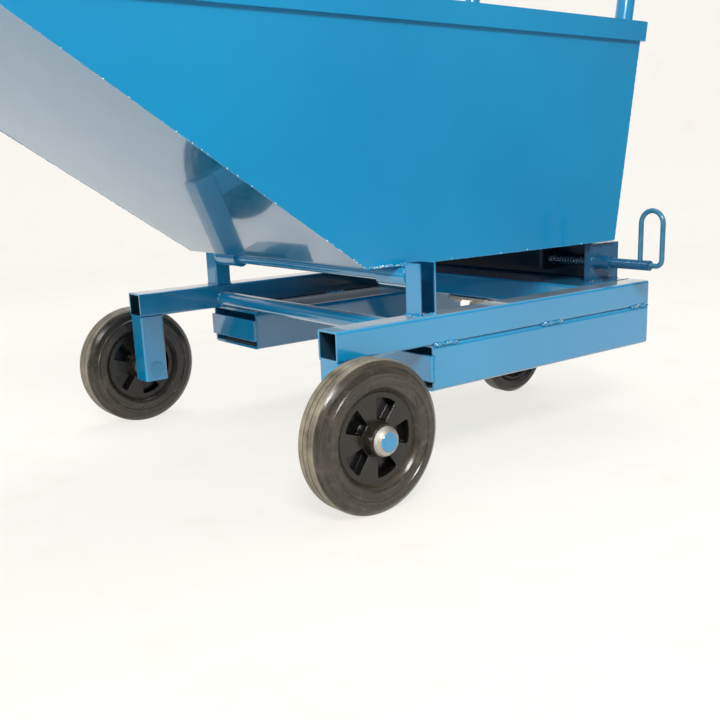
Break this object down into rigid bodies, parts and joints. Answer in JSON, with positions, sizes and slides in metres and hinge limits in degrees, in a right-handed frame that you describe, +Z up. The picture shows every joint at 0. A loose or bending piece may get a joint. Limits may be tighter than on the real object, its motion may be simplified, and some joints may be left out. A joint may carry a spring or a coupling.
{
  "type": "tipping skip trolley",
  "caption": "Three-wheeled tipping skip trolley: sloped steel skip hinged on a square-tube carriage with fork pockets, spring latch, front wheels and rear swivel castor.",
  "frame": {"origin": "on the floor under the middle of the whole trolley", "axes": "+X to the front over which the skip tips, +Y to the latch side, +Z up"},
  "size_m": [1.1694, 0.735, 0.8648],
  "materials": {
    "blue_paint": "gloss",
    "black_plastic": "satin",
    "tyre_rubber": "worn",
    "zinc": "zinc plated",
    "bare_steel": "oiled",
    "pad_rubber": "matt"
  },
  "bodies": {
    "carriage": {"left_rail": "blue_paint", "right_rail": "blue_paint", "left_leg": "blue_paint", "right_leg": "blue_paint", "left_axle": "blue_paint", "right_axle": "blue_paint", "left_post": "blue_paint", "right_post": "blue_paint", "left_fork_pocket": "blue_paint", "right_fork_pocket": "blue_paint", "left_fork_stop_strap": "blue_paint", "right_fork_stop_strap": "blue_paint", "axle_washers": "zinc", "axle_retainers": "zinc", "pivot_shaft": "blue_paint", "front_cross_tube": "blue_paint", "rear_cross_member": "blue_paint", "rest_beam": "blue_paint", "rest_pads": "pad_rubber", "castor_plate": "zinc", "castor_race": "zinc", "castor_kingpin": "zinc", "castor_bolts": "zinc", "castor_nuts": "zinc", "latch_bracket": "blue_paint", "latch_bush": "blue_paint"},
    "skip": {"skip_floor": "blue_paint", "skip_front_plate": "blue_paint", "skip_rear_wall": "blue_paint", "left_skip_wall": "blue_paint", "right_skip_wall": "blue_paint", "skip_rim": "blue_paint", "hinge_sleeves": "blue_paint", "latch_catch": "blue_paint", "push_handle": "blue_paint", "handle_pads": "blue_paint"},
    "latch": {"latch_rod": "blue_paint", "latch_collar": "bare_steel", "latch_collar_pin": "bare_steel", "latch_spring": "bare_steel", "latch_handle": "blue_paint"},
    "left_wheel": {"left_wheel_centre": "black_plastic", "left_tyre": "tyre_rubber", "left_roller_bearing": "bare_steel"},
    "right_wheel": {"right_wheel_centre": "black_plastic", "right_tyre": "tyre_rubber", "right_roller_bearing": "bare_steel"},
    "castor_swivel": {"castor_fork": "zinc", "castor_axle": "zinc", "castor_axle_nut": "zinc", "castor_sleeve": "bare_steel"},
    "castor_wheel": {"castor_wheel_centre": "black_plastic", "castor_tyre": "tyre_rubber"}
  },
  "joints": [
    {"name": "skip_tip", "type": "hinge", "parent": "carriage", "child": "skip", "pos_m": [0.0033, 0, 0.281], "axis": [0, 1, 0], "range_deg": [0, 52]},
    {"name": "latch_pull", "type": "slide", "parent": "carriage", "child": "latch", "axis": [0, 1, 0], "range_m": [0, 0.025], "stiffness_N_per_m": 900, "springref_m": -0.03, "deforming": ["latch_spring"]},
    {"name": "left_wheel_spin", "type": "hinge", "parent": "carriage", "child": "left_wheel", "pos_m": [0.1453, 0.328, 0.1], "axis": [0, 1, 0], "continuous": true},
    {"name": "right_wheel_spin", "type": "hinge", "parent": "carriage", "child": "right_wheel", "pos_m": [0.1453, -0.328, 0.1], "axis": [0, 1, 0], "continuous": true},
    {"name": "castor_turn", "type": "hinge", "parent": "carriage", "child": "castor_swivel", "pos_m": [-0.4137, 0, 0.1778], "axis": [0, 0, 1], "continuous": true},
    {"name": "castor_wheel_spin", "type": "hinge", "parent": "castor_swivel", "child": "castor_wheel", "pos_m": [-0.4587, 0, 0.075], "axis": [0, 1, 0], "continuous": true}
  ]
}
